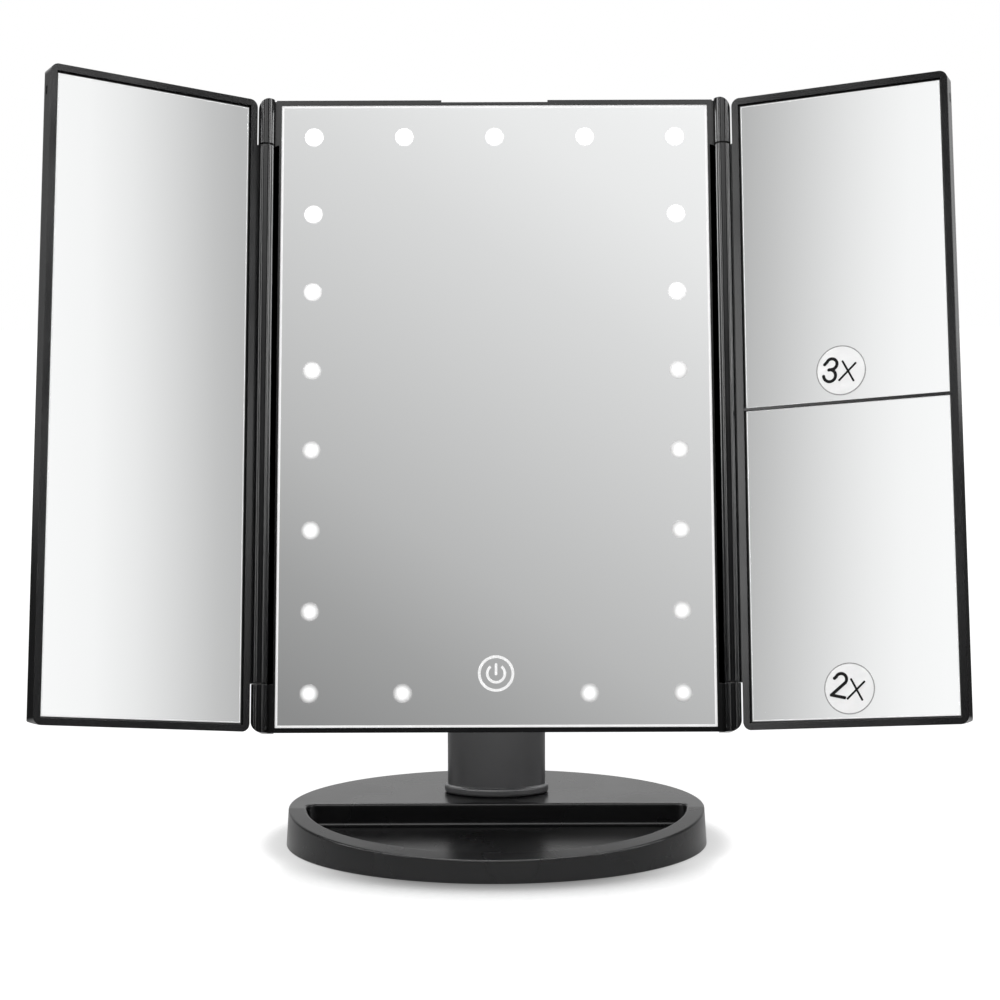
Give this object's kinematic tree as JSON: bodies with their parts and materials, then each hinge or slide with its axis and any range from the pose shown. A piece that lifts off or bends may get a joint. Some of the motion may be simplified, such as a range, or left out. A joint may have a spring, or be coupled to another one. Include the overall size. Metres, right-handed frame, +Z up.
{
  "type": "trifold vanity mirror",
  "caption": "Table mirror on an oval tray base: a tilting lit main panel with a touch switch and mirror wings that fold over it.",
  "frame": {"origin": "middle of the oval base, on the table", "axes": "+Z up; -Y towards the viewer, who looks along +Y into the mirror; +X to the viewer's right, along the width"},
  "size_m": [0.3225, 0.1251, 0.2773],
  "materials": {
    "black_plastic": "moulded ABS, satin black with a fine grain",
    "mirror_glass": "silvered, polished",
    "light_windows": "clear frosted window, lit white",
    "diffuser": "opal white sheet",
    "bright_steel": "nickel-plated steel",
    "ballast_steel": "plain rolled steel",
    "foam": "black closed-cell foam",
    "washer_plastic": "natural white acetal",
    "circuit_board": "white solder mask",
    "led_package": "yellow phosphor",
    "switch_plastic": "black nylon",
    "battery_wrap": "printed-free plain wrap",
    "sticker_film": "white film",
    "sticker_ink": "black ink"
  },
  "bodies": {
    "stand": {"base_shell": "black_plastic", "base_bottom_plate": "black_plastic", "ballast_plate": "ballast_steel", "grip_pad": "foam", "base_screws": "bright_steel", "stem": "black_plastic", "stem_screws": "bright_steel"},
    "head": {"tilt_axle": "bright_steel", "friction_washers": "washer_plastic", "axle_caps": "black_plastic", "front_frame": "black_plastic", "main_mirror": "mirror_glass", "light_windows": "light_windows", "touch_icon": "light_windows", "diffuser_sheet": "diffuser", "mirror_tape": "foam", "hinge_pins": "bright_steel", "rear_shell": "black_plastic", "shell_screws": "bright_steel", "led_board": "circuit_board", "led_chips": "led_package", "touch_sensor": "circuit_board", "control_board": "circuit_board", "usb_inlet": "bright_steel", "switch_body": "switch_plastic", "battery_cells": "battery_wrap", "battery_springs": "bright_steel", "battery_contacts": "bright_steel"},
    "battery_cover": {"battery_cover": "black_plastic"},
    "power_switch": {"power_switch_knob": "switch_plastic"},
    "left_wing": {"left_wing_frame": "black_plastic", "left_wing_mirror": "mirror_glass", "left_wing_pads": "foam"},
    "right_wing": {"right_wing_frame": "black_plastic", "upper_magnifier": "mirror_glass", "lower_magnifier": "mirror_glass", "right_wing_pads": "foam", "sticker_discs": "sticker_film", "sticker_marks": "sticker_ink"}
  },
  "joints": [
    {"name": "head_tilt", "type": "hinge", "parent": "stand", "child": "head", "pos_m": [0, 0.022, 0.0836], "axis": [-1, 0, 0], "range_deg": [-15, 75]},
    {"name": "left_wing_fold", "type": "hinge", "parent": "head", "child": "left_wing", "pos_m": [-0.084, 0.02125, 0.1542], "axis": [0, 0.2588, 0.9659], "range_deg": [-31.5, 148.5]},
    {"name": "right_wing_fold", "type": "hinge", "parent": "head", "child": "right_wing", "pos_m": [0.084, 0.02125, 0.1542], "axis": [0, -0.2588, -0.9659], "range_deg": [-23, 157]},
    {"name": "battery_cover_slide", "type": "slide", "parent": "head", "child": "battery_cover", "axis": [0, 0.2588, 0.9659], "range_m": [0, 0.072]},
    {"name": "power_switch_slide", "type": "slide", "parent": "head", "child": "power_switch", "axis": [0, -0.2588, -0.9659], "range_m": [0, 0.0025]}
  ]
}
